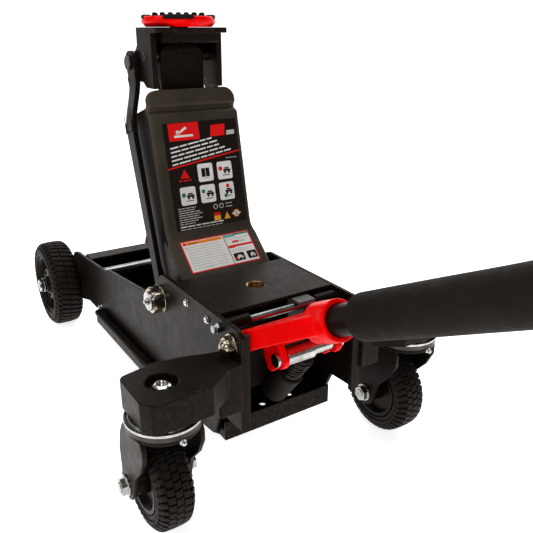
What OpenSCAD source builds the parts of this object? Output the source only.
// Hydraulic floor jack on casters: box frame with a raised lift arm, saddle,
// pump handle, front wheels and two swivel casters on outriggers.
// Millimetres. +Z up, +Y towards the saddle and front wheels, the handle leaves towards -Y.
// The origin lies on the floor under the middle of the jack's overall box.

/* [Frame] */
// Distance of the side plates' rear edges in front of the origin
rear_y = 178; // [170:1:180]
// Half of the width over the side plates
plate_x = 78; // [77:0.5:80]
// Thickness of a side plate
plate_t = 5; // [4:0.5:5.5]
// Height of the side plates' top edge over a line 12 mm under the floor
plate_top = 225; // [223:1:228]
// Height of the side plates' bottom edge over the same line
plate_low = 73; // [70:1:76]

/* [Lift arm] */
// Angle of the lift arm above the floor
arm_raise = 72.9; // [60:0.1:74]
// Distance between the arm's main pivot and the saddle carrier's pin
arm_length = 288.8; // [286:0.2:300]
// Radius of the arm's main shaft
arm_shaft_r = 12; // [10:0.5:13]
// Diameter of the saddle
saddle_d = 89; // [80:1:92]

/* [Handle] */
// Angle of the handle above the floor
handle_raise = 26.7; // [15:0.1:40]
// Length of the handle measured from the yoke's pivot
handle_len = 1141; // [900:1:1150]
// Outer radius of the handle tube
tube_r = 15.9; // [15:0.1:17]
// Outer radius of the foam sleeve
foam_r = 23; // [21:0.5:25]

/* [Wheels] */
// Diameter of a front wheel
front_d = 144; // [138:1:148]
// Width of a front tyre
front_w = 48; // [40:1:48]
// Diameter of a caster wheel
caster_d = 114; // [108:1:116]
// Width of a caster tyre
caster_w = 40; // [36:1:46]
// Half of the track of the two caster swivels
caster_x = 158; // [157:0.5:160]

/* [Hidden] */
$fn = 64;
eps = 0.01;
fit = 0.05;          // radial clearance of a running fit
gap = 0.4;           // clearance between moving bodies

// side view positions: [distance from the plates' rear edge, height over a line under the floor]
ground = 12;          // depth of that line under the floor
arm_pivot = [188, 193];
link_pivot = [215, 185];
yoke_pivot = [17, 205];
cross_rod = [42, 214];
tie_rod = [435, 143];
low_bolt = [439, 84];
axle = [583, front_d / 2 + ground];
cover_screws = [[69, 212], [118, 213]];
caster_swivel_y = 10;
caster_trail = 29;

plate_in = plate_x - plate_t;
link_pin_r = 6;
yoke_pin_r = 8;
axle_r = 10;
kingpin_r = 8;
caster_axle_r = 6;
carrier_pin_r = 6.5;
socket_r = tube_r + fit;
socket_depth = 49;     // inner end of the handle's socket, from the yoke's pivot

arm_half = 58;        // half width of the arm's channel
hood_half = 62;       // half width of the arm's flared foot
cover_half = 60;      // half width of the plate over the channel
carrier_half = 46.5;  // half width of the saddle carrier
link_x = 63;          // inner face of a link at its foot
link_t = 6.5;
link_top_x = 47.5;    // inner face of a link at its head
tip_half = 28.7;      // half width of the arm's narrow tip
tip_t = 6;

carrier_pin = arm_pivot + arm_length * [cos(arm_raise), sin(arm_raise)];
link_top = link_pivot + arm_length * [cos(arm_raise), sin(arm_raise)];
saddle_y = 268;
saddle_pin_r = 11;
cover_y0 = 50;
cover_y1 = 153;
bush_r = 11.5;
pan_z = plate_low - 3;
pan_lip_x = 93;       // half width over the pan's upturned edge
pan_lip_h = 13;
pan_front = 430;
pan_corner = 240;     // where the pan reaches its full width

// ---------- helpers ----------
module at_frame() translate([0, rear_y, -ground]) children();
module sided(s) if (s < 0) mirror([1, 0, 0]) children(); else children();
module both_sides() for (s = [-1, 1]) sided(s) children();
// bar along X from x0 to x1 at a side view position
module bar_x(p, r, x0, x1, n = 64)
    translate([x0, p[0], p[1]]) rotate([0, 90, 0]) cylinder(r = r, h = x1 - x0, $fn = n);
module tube_x(p, r_out, r_in, x0, x1)
    difference() {
        bar_x(p, r_out, x0, x1);
        bar_x(p, r_in, x0 - 1, x1 + 1);
    }
// plate standing in the side view plane from x0 to x1
module slab_x(points, x0, x1)
    translate([x0, 0, 0]) rotate([90, 0, 90]) linear_extrude(x1 - x0) polygon(points);
module block(x0, x1, y0, y1, z0, z1)
    translate([x0, y0, z0]) cube([x1 - x0, y1 - y0, z1 - z0]);
function hex_r(af) = af / 2 / cos(30);
// arc of points in the side view plane
function arc(c, r, a0, a1, n = 8) =
    [for (i = [0:n]) c + r * [cos(a0 + (a1 - a0) * i / n), sin(a0 + (a1 - a0) * i / n)]];
// frame with its Y axis along the raised lift arm and its Z axis on the arm's upper side
module at_arm() translate([0, arm_pivot[0], arm_pivot[1]]) rotate([arm_raise, 0, 0]) children();
// frame with its -Y axis along the handle
module at_handle()
    translate([0, yoke_pivot[0], yoke_pivot[1]]) rotate([-handle_raise, 0, 0]) children();

// ---------- frame ----------
module side_plate(s) {
    flange_w = 11;
    nose_r = 27;
    outline = concat(
        [[0, 112], [44, 110], [62, plate_low], [500, plate_low], [545, 60]],
        arc(axle, nose_r, 225, 385, 14),
        [[560, 142], [543, 146], [400, 157], [392, 163], [232, 182], [190, plate_top - 3]],
        [[182, plate_top]],
        arc([9, plate_top - 9], 9, 90, 180, 6));
    color("#1c1b1a") sided(s) difference() {
        union() {
            slab_x(outline, plate_in, plate_x);
            block(plate_x - flange_w, plate_in + eps, 0, plate_t, 111, plate_top - 5);
        }
        bar_x(arm_pivot, arm_shaft_r, plate_in - 1, plate_x + 1);
        bar_x(link_pivot, link_pin_r, plate_in - 1, plate_x + 1);
        bar_x(yoke_pivot, yoke_pin_r, plate_in - 1, plate_x + 1);
        bar_x(cross_rod, 4.5, plate_in - 1, plate_x + 1);
        bar_x(axle, axle_r, plate_in - 1, plate_x + 1);
        bar_x(low_bolt, 4, plate_in - 1, plate_x + 1);
        for (p = cover_screws) bar_x(p, 3, plate_in - 1, plate_x + 1);
    }
}

module skid_pan() {
    lip_x = pan_lip_x;
    lip_t = 3;
    front = pan_front;
    corner = pan_corner;
    rear = plate_in - 0.5;
    plan = [[-77, 68], [-rear, 60], [-rear, 46], [rear, 46], [rear, 60], [77, 68],
        [lip_x, corner], [lip_x, front - 12], [lip_x - 12, front],
        [12 - lip_x, front], [-lip_x, front - 12], [-lip_x, corner]];
    inner = [[lip_t - rear, 65], [lip_t - rear, 49], [rear - lip_t, 49], [rear - lip_t, 65],
        [lip_x - lip_t, corner], [lip_x - lip_t, front + 20],
        [lip_t - lip_x, front + 20], [lip_t - lip_x, corner]];
    color("#1c1b1a") difference() {
        union() {
            translate([0, 0, pan_z]) linear_extrude(lip_t) polygon(plan);
            difference() {
                translate([0, 0, pan_z]) linear_extrude(pan_lip_h) polygon(plan);
                translate([0, 0, pan_z - 1]) linear_extrude(pan_lip_h + 2) polygon(inner);
            }
            block(-rear, rear, 46, 49, pan_z, 94);
            block(-plate_in + gap, plate_in - gap, front - 5, 511, pan_z, plate_low);
        }
        // the side plates stand through the pan's edge
        both_sides() block(plate_in, plate_x, 55, front + 1, plate_low, 100);
        for (x = [0, 39]) translate([x, 83, pan_z - 1]) cylinder(r = 4, h = 5);
    }
}

// folded strip that closes the pan's edge beside and in front of the side plate
module pan_rim(s) {
    wide = 10;
    x1 = pan_lip_x;
    x0 = x1 - wide;
    yf = pan_front;
    top_outline = [[plate_x, 95], [x1, pan_corner], [x1, yf - 12], [x1 - 12, yf], [plate_x, yf],
        [plate_x, yf - 10], [x0 - 3.5, yf - 10], [x0, yf - 14], [x0, pan_corner], [plate_x, 191]];
    skirt = [[plate_x, 191], [x0, pan_corner], [x0, yf - 14], [x0 - 3.5, yf - 10],
        [plate_x, yf - 10], [plate_x, yf - 7.5], [x0 - 2.5, yf - 7.5], [x0 + 2.5, yf - 13],
        [x0 + 2.5, pan_corner], [plate_x, 167]];
    color("#1c1b1a") sided(s) {
        translate([0, 0, pan_z + pan_lip_h + 0.1]) linear_extrude(3) polygon(top_outline);
        translate([0, 0, plate_low + 0.1]) linear_extrude(pan_lip_h - 2.5) polygon(skirt);
    }
}

module front_cross_bar() {
    color("#1c1b1a") difference() {
        block(-plate_in, plate_in, 484, 512, plate_low + 0.4, 151);
        block(-plate_in - 1, plate_in + 1, 479, 507, plate_low - 5, 146);
    }
}

module front_tie_rod() color("silver") bar_x(tie_rod, 7, -plate_in, plate_in);

module top_cover() {
    flange_t = 4;
    x = plate_in;
    color("#1c1b1a") difference() {
        union() {
            block(-x, x, cover_y0, cover_y1, plate_top - 4, plate_top);
            both_sides() block(x - flange_t, x, cover_y0, cover_y1, 198, plate_top - 4 + eps);
        }
        translate([0, 97, plate_top - 8]) cylinder(r = bush_r, h = 10);
        both_sides() for (p = cover_screws) bar_x(p, 3, x - flange_t - 1, x + 1);
    }
}

module cover_bush() {
    color("#a8853c") translate([0, 97, 0]) difference() {
        translate([0, 0, plate_top - 10]) cylinder(r = bush_r, h = 10.2);
        translate([0, 0, plate_top - 11]) cylinder(r = 9.5, h = 13);
    }
}

// screws of the cover, lower front bolts and the outriggers' bolts
module frame_bolts() {
    color("silver") both_sides() {
        for (p = cover_screws) {
            bar_x(p, 3, plate_in - 4, plate_x);
            bar_x(p, 4.6, plate_x, plate_x + 2.4);
        }
        bar_x(low_bolt, 4, plate_in - 3, plate_x);
        bar_x(low_bolt, hex_r(13), plate_x, plate_x + 6, 6);
        bar_x(low_bolt, 6, plate_in - 7, plate_in);
    }
}

// box outrigger that carries a caster, bolted against the side plate
module caster_arm(s) {
    top = 194;
    low = 162;
    wall = 4;
    y0 = caster_swivel_y;
    plan = concat([[plate_x, -4], [94, -4], [122, -25], [176, -26], [183, -24], [190, -13]],
        arc([182, 32], 8, 0, 90, 4), [[149, 47], [120, 42], [95, 34], [plate_x, 31]]);
    recess_r = 15.5;
    color("#1c1b1a") sided(s) difference() {
        union() {
            difference() {
                translate([0, 0, low]) linear_extrude(top - low) polygon(plan);
                translate([0, 0, low - 5]) linear_extrude(top - wall - low + 5)
                    polygon([[plate_x + 5, 1], [96, 1], [123, -20], [180, -21], [185, -12],
                        [185, 32], [180, 36], [150, 42], [122, 37], [96, 29], [plate_x + 5, 26]]);
            }
            translate([caster_x, y0, low]) cylinder(r = recess_r + 5, h = top - low - 2);
            block(plate_x, plate_x + 5, -4, 31, 139, low + 5);
            slab_x([[-4, low + 1], [-4, 139], [3, 139], [3, low + 1]], plate_x, 104);
        }
        translate([caster_x, y0, top - 10]) cylinder(r = recess_r, h = 14);
        translate([caster_x, y0, 150]) cylinder(r = kingpin_r, h = 60);
        // room for the nut of the yoke's pivot bolt
        bar_x(yoke_pivot, 13.5, plate_x - 1, plate_x + 16);
    }
}

module caster_kingpins() {
    color("silver") both_sides() translate([caster_x, caster_swivel_y, 0]) difference() {
        union() {
            translate([0, 0, 142]) cylinder(r = kingpin_r, h = 44);
            translate([0, 0, 184]) cylinder(r = 11.5, h = 2);
            translate([0, 0, 186]) cylinder(r = 9.6, h = 6);
        }
        translate([0, 0, 188]) cylinder(r = hex_r(8), h = 8, $fn = 6);
    }
}

module caster_upper_rings() {
    color("silver") both_sides() translate([caster_x, caster_swivel_y, 0]) difference() {
        union() {
            translate([0, 0, 160]) cylinder(r = 34, h = 2);
            translate([0, 0, race_z + 0.4]) cylinder(r = 38, h = 160 - race_z - 0.4 + eps);
        }
        translate([0, 0, 150]) cylinder(r = kingpin_r, h = 14);
        translate([0, 0, race_z]) rotate_extrude() translate([30, 0]) circle(r = 2.4, $fn = 24);
    }
}

module arm_pivot_shaft() {
    color("silver") difference() {
        bar_x(arm_pivot, arm_shaft_r, -plate_x - 19, plate_x + 19);
        both_sides() bar_x(arm_pivot, 3.2, plate_x + 12, plate_x + 20);
    }
}

module arm_pivot_nuts() {
    color("silver") both_sides() {
        tube_x(arm_pivot, 17, arm_shaft_r, plate_x, plate_x + 3);
        difference() {
            bar_x(arm_pivot, hex_r(30), plate_x + 3, plate_x + 15.5, 6);
            bar_x(arm_pivot, arm_shaft_r, plate_x + 2, plate_x + 18);
        }
        bar_x(arm_pivot, 3.2, plate_x + 14, plate_x + 24);
        bar_x(arm_pivot, 4.6, plate_x + 19, plate_x + 22, 6);
    }
}

module rear_cross_rod() {
    color("silver") {
        bar_x(cross_rod, 4.5, -plate_x - 8, plate_x + 8);
        both_sides() {
            bar_x(cross_rod, hex_r(10), plate_x, plate_x + 5, 6);
            bar_x(cross_rod, 4.2, plate_x + 5, plate_x + 8.5);
        }
    }
}

module cross_rod_sleeves()
    color("#151515") both_sides() tube_x(cross_rod, 7.4, 4.5, 43, 71);

module front_axle() color("silver") bar_x(axle, axle_r, -139, 139);

module axle_nuts() {
    color("silver") both_sides() {
        tube_x(axle, 17, axle_r, 130, 132);
        difference() {
            bar_x(axle, hex_r(28), 132, 138, 6);
            bar_x(axle, axle_r, 131, 139);
        }
    }
}

// ---------- hydraulic unit ----------
plunger_dir = [0.616, -0.788];
roller_off = [-23, -18];
roller_r = 9;
lug_x_in = 29.7;      // half length of the roller between the yoke's lugs
roller = yoke_pivot + roller_off;
cup = roller + plunger_dir * (roller_r + 1.2);
cyl_z = 148;
cyl_end = 150;
block_front = 118;
ram_y = arm_pivot[0] + 23.8;
ram_pin_z = arm_pivot[1] - 31;
cyl_r = 25;
ram_r = 13;

// frame with its Z axis up along the pump plunger, at the plunger's cup
module at_plunger()
    translate([0, cup[0], cup[1]])
        rotate([atan2(plunger_dir[0], -plunger_dir[1]), 0, 0]) children();

module pump_block() {
    half = 50;
    color("#242424") difference() {
        union() {
            block(-half, half, 100, block_front, plate_low, 172);
            block(-half, half, 66, block_front, 112, 172);
            at_plunger() translate([0, 0, -92]) cylinder(r = 16, h = 52);
        }
        at_plunger() translate([0, 0, -86]) cylinder(r = 9 + fit, h = 50);
        translate([0, 69, cyl_z]) rotate([-90, 0, 0]) cylinder(r = ram_r + fit, h = 60);
        translate([30, 60, 128]) rotate([-90, 0, 0]) cylinder(r = 6 + fit, h = 34);
    }
}

module hydraulic_cylinder() {
    color("#3a3a3a") translate([0, block_front, cyl_z]) rotate([-90, 0, 0]) difference() {
        union() {
            cylinder(r = cyl_r, h = cyl_end - block_front);
            cylinder(r = 29, h = 8, $fn = 6);
        }
        translate([0, 0, -1]) cylinder(r = ram_r + fit, h = 60);
    }
}

module valve_bracket() {
    under_cover = plate_top - 4;
    y0 = cover_y0;
    color("#6c6b68") slab_x([[y0 - 17, 219], [y0 + 4, 219], [y0 + 4, 190], [y0 + 7, 190],
        [y0 + 7, under_cover], [y0 - 1, under_cover], [y0 - 2, 222], [y0 - 17, 222]], 16, 38);
}

module ram_rod() {
    color("silver") translate([0, 119, cyl_z]) rotate([-90, 0, 0])
        cylinder(r = ram_r, h = ram_y - 12 - 119);
}

module ram_crosshead() {
    color("#303030") {
        block(-26, 26, ram_y - 12, ram_y + 13, cyl_z - 15, 172);
        bar_x([ram_y, ram_pin_z], 8, -38, 38);
        bar_x([ram_y, ram_pin_z], 4, -50.5, 50.5);
    }
}

// two tension springs between the pump block and the ram's crosshead
module return_springs() {
    len = ram_y - 4.6 - block_front;
    color("silver") both_sides() translate([44.5, block_front, ram_pin_z]) rotate([-90, 0, 0])
        difference() {
            cylinder(r = 6, h = len);
            translate([0, 0, 2]) cylinder(r = 4, h = len - 4);
        }
}

module pump_plunger() {
    color("#202020") at_plunger() {
        translate([0, 0, -5]) cylinder(r = 11, h = 5);
        translate([0, 0, -62]) cylinder(r = 9, h = 58);
    }
}

module plunger_spring() {
    color("silver") at_plunger() difference() {
        translate([0, 0, -39.6]) cylinder(r = 13, h = 34.2);
        translate([0, 0, -40]) cylinder(r = 10.2, h = 36);
    }
}

module release_valve() {
    color("silver") translate([30, 65.5, 128]) rotate([90, 0, 0]) {
        translate([0, 0, -20]) cylinder(r = 6, h = 20 + eps);
        cylinder(r = hex_r(15), h = 10, $fn = 6);
        translate([0, 0, 10 - eps]) cylinder(r = 5, h = 12);
    }
}

module yoke_pivot_bolts() {
    color("silver") both_sides() {
        bar_x(yoke_pivot, yoke_pin_r, 52, plate_x + 13);
        tube_x(yoke_pivot, 13, yoke_pin_r, plate_x, plate_x + 2.3);
        bar_x(yoke_pivot, hex_r(18.5), plate_x + 2.3, plate_x + 8.3, 6);
    }
}

module link_foot_pins() {
    color("#2a2a2a") both_sides() {
        bar_x(link_pivot, link_pin_r, link_x - 0.6, plate_x);
        bar_x(link_pivot, 7.5, plate_x, plate_x + 1.5);
    }
}

// ---------- lift arm ----------
// points in the arm's side view: [along the arm's line, above it]
foot_low = [17, 38.8];     // lower edge of the flared foot
foot_top = [69, 7.6];      // bend between the foot and the back panel
back_top = [216, 20.3];    // top end of the back panel
step_low = [221, 12.5];    // bottom of the step above the back panel
cross_low = [226, 19.4];   // lower edge of the cross plate
cross_high = [245, 18.6];  // upper edge of the cross plate
lug = [-22.6, -31.9];      // pin of the hydraulic ram
// underside of the back panel, step and cross plate
under = [[69.4, 2.6], [214.5, 15.1], [221, 7], [245, 13.6]];
foot_inner = [[66.9, 4.2], [18.3, 33.3], [16.8, 30.7]];

// channel cheeks, hub, ram levers and narrow tip
module lift_arm() {
    wall = 5;
    lap = 0.5;
    hub_r = 19;
    cheek = concat(arc([0, 0], 22, 150, 280, 10), [[42, -36], [60, -42], [205, -40], [227, -30]],
        [[227, 8.7], under[2], under[1], under[0], foot_inner[0], [40, 14]]);
    foot_cheek = [[-14, 12], [16.6, 30.4], foot_inner[1], foot_inner[0], under[0],
        [60, -6], [16, -14]];
    // the tip's plate stands upright while the arm is raised
    tip_low = [250, -1];
    tip_high = [292, 12];
    plate = 4.7;
    tip = concat([[212, -14]], arc([arm_length, 0], 12, 270, 345, 6),
        [[301, 4], [299, tip_high[1]], tip_high, tip_low, [212, tip_low[1]]]);
    tip_inside = [[205, -30], [310, -30], [310, tip_high[1] - plate],
        [tip_high[0], tip_high[1] - plate], [tip_low[0], tip_low[1] - plate],
        [205, tip_low[1] - plate]];
    // levers point down from the hub; the ram's pin runs in their long slots
    lug_dir = lug / norm(lug);
    side = [-lug_dir[1], lug_dir[0]];
    turn = atan2(side[1], side[0]);
    lever = concat(arc(lug, 16, turn - 180, turn, 12), [side * 17, side * -17]);
    slot_r = 8 + 2;
    slot = concat(arc(lug_dir * 41, slot_r, turn - 180, turn, 12),
        arc(lug_dir * 30, slot_r, turn, turn + 180, 12));
    color("#1c1b1a") at_arm() difference() {
        union() {
            both_sides() {
                slab_x(cheek, arm_half - wall, arm_half);
                slab_x(foot_cheek, arm_half - lap, hood_half);
                // bridge between the channel's cheek and the tip
                block(tip_half - 3, arm_half - wall + lap, 216, 222, -12, -3);
                slab_x(lever, 28, 36);
            }
            difference() {
                slab_x(tip, -tip_half, tip_half);
                slab_x(tip_inside, tip_t - tip_half, tip_half - tip_t);
                both_sides() translate([tip_half, 301, 0]) rotate([0, 0, 45])
                    cube([15, 15, 60], center = true);
            }
            bar_x([0, 0], hub_r, -hood_half, hood_half);
        }
        bar_x([0, 0], arm_shaft_r + fit, -hood_half - 1, hood_half + 1);
        bar_x([arm_length, 0], carrier_pin_r, -70, 70);
        both_sides() slab_x(slot, 27, 37);
    }
}

// folded plate over the arm's upper side, from the foot's lip to the cross plate
module arm_back_plate() {
    foot = concat([foot_low, foot_top, under[0]], foot_inner, [[13.4, 32.8]]);
    back = [[67, 7.43], foot_top, back_top, step_low, [226, 12.8], cross_low, cross_high,
        under[3], under[2], under[1], under[0], [67.3, 4.6]];
    color("#1c1b1a") at_arm() difference() {
        union() {
            slab_x(foot, -hood_half, hood_half);
            slab_x(back, -cover_half, cover_half);
        }
        // rounded upper corners of the cross plate
        both_sides() translate([cover_half, cross_high[0], 0]) rotate([0, 0, 45])
            cube([9, 9, 80], center = true);
    }
}

module carrier_pin() {
    color("#2a2a2a")
        bar_x(carrier_pin, carrier_pin_r, -carrier_half - 0.5, carrier_half + 0.5);
}

// flat bar with an eye at each end, curved inwards near its head
module link(s) {
    foot_w = 8.5;
    head_w = 12;
    bend_low = arm_length - 84;
    bend_high = arm_length - 14;
    eye_r = 14;
    steps = 10;
    bend = [for (i = [0:steps]) [
        link_x - (link_x - link_top_x) * (1 - cos(180 * i / steps)) / 2,
        bend_low + (bend_high - bend_low) * i / steps]];
    back = [for (i = [0:steps]) bend[steps - i] + [link_t, 0]];
    color("#1c1b1a") sided(s)
        translate([0, link_pivot[0], link_pivot[1]]) rotate([arm_raise, 0, 0]) difference() {
        union() {
            bar_x([0, 0], 13, link_x, link_x + link_t);
            slab_x([[0, -foot_w], [bend_low + 1, -head_w + 1], [bend_low + 1, head_w - 1],
                [0, foot_w]], link_x, link_x + link_t);
            translate([0, 0, -head_w]) linear_extrude(2 * head_w) polygon(concat(bend, back));
            slab_x([[bend_high - 1, -head_w - 0.5], [arm_length, -head_w - 1],
                [arm_length, head_w + 1], [bend_high - 1, head_w + 0.5]],
                link_top_x, link_top_x + link_t);
            bar_x([arm_length, 0], eye_r, link_top_x, link_top_x + link_t);
        }
        bar_x([0, 0], link_pin_r + fit, link_x - 1, link_x + link_t + 1);
        bar_x([arm_length, 0], link_pin_r + fit, link_top_x - 1, link_top_x + link_t + 1);
    }
}

// ---------- saddle ----------
module saddle_carrier() {
    wall = 7;
    y0 = carrier_pin[0] - 26;
    y1 = y0 + 44;
    top = 501.5;
    under_top = 495.5;
    lip_half = 36;
    side = [[y0, 433], [y0 + 22, 433], [y0 + 31, 439], [y0 + 50, 439], [y0 + 64, 450],
        [y0 + 64, 466], [y0 + 47, 478], [y1, 482], [y1, under_top + 1], [y0, under_top + 1]];
    color("#1c1b1a") difference() {
        union() {
            both_sides() slab_x(side, carrier_half - wall, carrier_half);
            block(-carrier_half, carrier_half, y0 - 14, y1, under_top, top);
            // thick rear lip under the top plate
            slab_x([[y0 - 12, 486], [y0 - 9, 484], [y0 - 4, 484], [y0 - 3, 486],
                [y0 - 3, under_top + 0.5], [y0 - 12, under_top + 0.5]], -lip_half, lip_half);
            // cross plate at the front
            block(wall - carrier_half - 0.5, carrier_half - wall + 0.5, y1 - 4, y1, 468,
                under_top + 0.5);
        }
        bar_x(carrier_pin, carrier_pin_r + fit, -60, 60);
        bar_x(link_top, link_pin_r, -60, 60);
        translate([0, saddle_y, 480]) cylinder(r = saddle_pin_r + fit, h = 30);
    }
}

module link_head_pins() {
    color("#2a2a2a") both_sides() {
        bar_x(link_top, link_pin_r, carrier_half - 7, link_top_x + link_t + 3);
        bar_x(link_top, 8.5, link_top_x + link_t + 0.5, link_top_x + link_t + 3.5);
    }
}

module saddle_ring() {
    notches = 4;
    rim_r = saddle_d / 2;
    low = 502;
    top = 514;
    color("#c8102e") translate([0, saddle_y, 0]) difference() {
        union() {
            rotate_extrude() polygon([[0, low], [rim_r - 5, low], [rim_r, low + 4],
                [rim_r, top - 2], [rim_r - 2, top], [0, top]]);
            translate([0, 0, 487.5]) cylinder(r = saddle_pin_r, h = 16);
        }
        translate([0, 0, 508]) cylinder(r = rim_r - 6, h = 10);
        for (i = [0:notches - 1]) rotate([0, 0, 64.5 + i * 360 / notches])
            translate([rim_r - 8, -17, 511]) cube([10, 34, 6]);
    }
}

module saddle_pad() {
    color("#181818") translate([0, saddle_y, 0]) difference() {
        translate([0, 0, 508]) cylinder(r = saddle_d / 2 - 6, h = 10);
        // crossed grooves
        for (a = [0, 90]) rotate([0, 0, a]) for (k = [-2:2])
            translate([-50, k * 14 - 2, 515]) cube([100, 4, 6]);
    }
}

// ---------- handle ----------
module handle_yoke() {
    boss_r = 21.5;
    boss_start = 45;
    boss_end = 80;
    bar_half = 66;
    lug_x = 30;
    lug_t = 8;
    r_local = [roller_off[0] * cos(handle_raise) - roller_off[1] * sin(handle_raise),
        roller_off[0] * sin(handle_raise) + roller_off[1] * cos(handle_raise)];
    lug_plate = concat([[-14, 8], [12, 8], [15, -20], [14, -36], [9, -39]],
        arc(r_local, 11, -60, -160, 6), [[-16, 0]]);
    color("#d3122a") at_handle() difference() {
        union() {
            bar_x([0, 0], 11.5, -plate_in + gap, plate_in - gap);
            slab_x([[-14, -9], [11, -12], [14, 0], [11, 10.5], [-14, 10.5]], -bar_half, bar_half);
            // triangular web between the crossbar and the handle's socket
            translate([0, 0, -9.5]) linear_extrude(20.5)
                polygon([[-bar_half, -10], [bar_half, -10], [bar_half, -14.5], [20, -67],
                    [-20, -67], [-bar_half, -14.5]]);
            rotate([90, 0, 0]) translate([0, 0, boss_start]) cylinder(r = boss_r,
                h = boss_end - boss_start);
            both_sides() slab_x(lug_plate, lug_x, lug_x + lug_t);
            // web over the roller
            slab_x([[-14, -7], [6, -9], [4, -15.5], [-13, -15]], -lug_x - 1, lug_x + 1);
        }
        rotate([90, 0, 0]) translate([0, 0, socket_depth]) cylinder(r = socket_r, h = boss_end);
        both_sides() bar_x([0, 0], yoke_pin_r + fit, 50, plate_in + 1);
        bar_x(r_local, 5, -lug_x - lug_t - 1, lug_x + lug_t + 1);
    }
}

module yoke_roller() {
    color("silver") {
        bar_x(roller, 5, -41, 41);
        both_sides() bar_x(roller, 7.5, 38, 42);
        bar_x(roller, roller_r, -lug_x_in, 4);
        bar_x(roller, roller_r - 2.5, 3, lug_x_in);
    }
}

module handle_tube() {
    foot = socket_depth + 1;
    joint = 590;
    color("#1b1b1b") at_handle() rotate([90, 0, 0]) difference() {
        union() {
            translate([0, 0, foot]) cylinder(r = tube_r, h = handle_len - foot - 2);
            translate([0, 0, joint - 22]) cylinder(r = tube_r + 2.4, h = 44);
        }
        translate([0, 0, foot - 1]) cylinder(r = tube_r - 2.2, h = handle_len);
    }
}

module foam_sleeve() {
    from = 112;
    len = 390;
    color("#262626") at_handle() rotate([90, 0, 0]) difference() {
        translate([0, 0, from]) cylinder(r = foam_r, h = len);
        translate([0, 0, from - 1]) cylinder(r = tube_r, h = len + 2);
    }
}

module handle_grip() {
    len = 150;
    color("#161616") at_handle() rotate([90, 0, 0]) difference() {
        translate([0, 0, handle_len - len]) cylinder(r = tube_r + 3.5, h = len);
        translate([0, 0, handle_len - len - 1]) cylinder(r = tube_r, h = len - 1);
    }
}

// ---------- wheels ----------
module ring_x(profile) rotate([90, 0, 90]) rotate_extrude($fn = 96) polygon(profile);
hub_r = 50;
caster_hub_r = 36;

module front_hub(s) {
    w = 44;
    color("#202020") sided(s) translate([106, axle[0], axle[1]]) difference() {
        ring_x([[axle_r + fit, -w / 2], [17, -w / 2], [19, -8], [42, -8], [46, -w / 2 + 2],
            [hub_r, -w / 2 + 2], [hub_r, w / 2 - 2], [46, w / 2 - 2], [42, 8], [19, 8],
            [17, w / 2], [axle_r + fit, w / 2]]);
        for (i = [0:4]) rotate([i * 72, 0, 0])
            translate([-20, 30.5, 0]) rotate([0, 90, 0]) cylinder(r = 7.5, h = 40);
    }
}

module front_tyre(s) {
    r = front_d / 2;
    h = front_w / 2;
    color("#161616") sided(s) translate([106, axle[0], axle[1]])
        ring_x([[hub_r, -h + 3], [hub_r + 4, -h], [r - 9, -h], [r, -h + 8], [r, h - 8],
            [r - 9, h], [hub_r + 4, h], [hub_r, h - 3]]);
}

module at_caster(s) translate([s * caster_x, caster_swivel_y, 0]) children();
caster_axle = [caster_trail, caster_d / 2 + ground];
fork_in = 27.5;
fork_t = 5;
fork_top = 151.5;
race_z = 156.6;       // middle of the ball race between the two rings

module caster_ring(s) {
    color("silver") at_caster(s) difference() {
        translate([0, 0, fork_top]) cylinder(r = 37, h = race_z - 0.4 - fork_top);
        translate([0, 0, fork_top - 1]) cylinder(r = kingpin_r + fit, h = 12);
        // race for the balls
        translate([0, 0, race_z]) rotate_extrude() translate([30, 0]) circle(r = 2.4, $fn = 24);
    }
}

module caster_fork(s) {
    leg = concat([[-16, fork_top - 2], [-21, 140], [-21, 128], [-12, 110], [6, 90]],
        arc(caster_axle, 16, 195, 395, 14), [[43, 108], [38, 128], [30, 142], [22, fork_top - 2]]);
    color("#1c1b1a") at_caster(s) difference() {
        union() {
            translate([0, 0, fork_top - 5]) cylinder(r = 36, h = 5);
            block(-fork_in - fork_t, fork_in + fork_t, -15, 21, fork_top - 5.5, fork_top - 1.5);
            both_sides() slab_x(leg, fork_in, fork_in + fork_t);
        }
        translate([0, 0, 130]) cylinder(r = kingpin_r + fit, h = 30);
        bar_x(caster_axle, caster_axle_r, -45, 45);
    }
}

module caster_axle_bolt(s) {
    end = fork_in + fork_t;
    color("silver") at_caster(s) {
        bar_x(caster_axle, caster_axle_r, -end - 9, end + 2);
        both_sides() bar_x(caster_axle, 11, end, end + 2);
        bar_x(caster_axle, hex_r(17), -end - 8, -end - 2, 6);
        bar_x(caster_axle, hex_r(17), end + 2, end + 9, 6);
    }
}

module caster_hub(s) {
    w = fork_in - 0.5;
    color("#222222") at_caster(s) translate([0, caster_axle[0], caster_axle[1]])
        ring_x([[caster_axle_r + fit, -w], [13, -w], [15, -12], [29, -12], [32, -19],
            [caster_hub_r, -19], [caster_hub_r, 19], [32, 19], [29, 12], [15, 12], [13, w],
            [caster_axle_r + fit, w]]);
}

module caster_tyre(s) {
    r = caster_d / 2;
    h = caster_w / 2;
    color("#161616") at_caster(s) translate([0, caster_axle[0], caster_axle[1]])
        ring_x([[caster_hub_r, -h + 3], [caster_hub_r + 4, -h], [r - 9, -h], [r, -h + 8],
            [r, h - 8], [r - 9, h], [caster_hub_r + 4, h], [caster_hub_r, h - 3]]);
}

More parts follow.
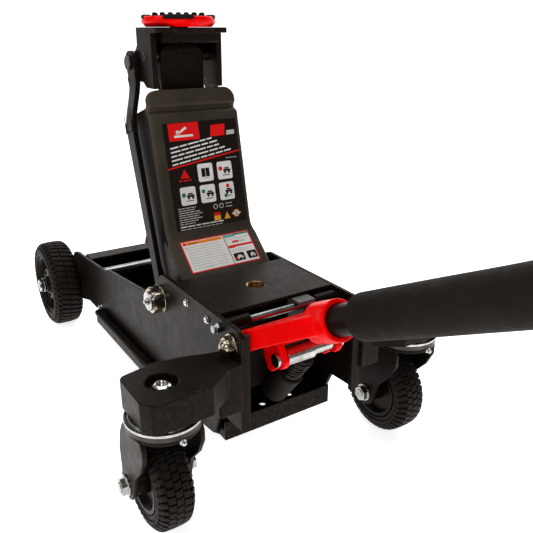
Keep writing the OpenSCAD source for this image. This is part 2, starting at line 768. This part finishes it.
at_frame() side_plate(-1);  // side_plate_left
at_frame() side_plate(1);  // side_plate_right
at_frame() skid_pan();
at_frame() pan_rim(-1);  // pan_rim_left
at_frame() pan_rim(1);  // pan_rim_right
at_frame() front_cross_bar();
at_frame() front_tie_rod();
at_frame() top_cover();
at_frame() cover_bush();
at_frame() frame_bolts();
at_frame() caster_arm(-1);  // caster_arm_left
at_frame() caster_arm(1);  // caster_arm_right
at_frame() caster_kingpins();
at_frame() caster_upper_rings();
at_frame() arm_pivot_shaft();
at_frame() arm_pivot_nuts();
at_frame() rear_cross_rod();
at_frame() cross_rod_sleeves();
at_frame() front_axle();
at_frame() axle_nuts();
at_frame() pump_block();
at_frame() hydraulic_cylinder();
at_frame() valve_bracket();
at_frame() yoke_pivot_bolts();
at_frame() link_foot_pins();
at_frame() lift_arm();
at_frame() arm_back_plate();
at_frame() carrier_pin();
at_frame() link(-1);  // link_left
at_frame() link(1);  // link_right
at_frame() saddle_carrier();
at_frame() link_head_pins();
at_frame() saddle_ring();
at_frame() saddle_pad();
at_frame() ram_rod();
at_frame() ram_crosshead();
at_frame() return_springs();
at_frame() handle_yoke();
at_frame() yoke_roller();
at_frame() handle_tube();
at_frame() foam_sleeve();
at_frame() handle_grip();
at_frame() pump_plunger();
at_frame() plunger_spring();
at_frame() release_valve();
at_frame() front_hub(-1);  // front_hub_left
at_frame() front_hub(1);  // front_hub_right
at_frame() front_tyre(-1);  // front_tyre_left
at_frame() front_tyre(1);  // front_tyre_right
at_frame() caster_fork(-1);  // caster_fork_left
at_frame() caster_fork(1);  // caster_fork_right
at_frame() caster_ring(-1);  // caster_ring_left
at_frame() caster_ring(1);  // caster_ring_right
at_frame() caster_hub(-1);  // caster_hub_left
at_frame() caster_hub(1);  // caster_hub_right
at_frame() caster_tyre(-1);  // caster_tyre_left
at_frame() caster_tyre(1);  // caster_tyre_right
at_frame() caster_axle_bolt(-1);  // caster_axle_left
at_frame() caster_axle_bolt(1);  // caster_axle_right
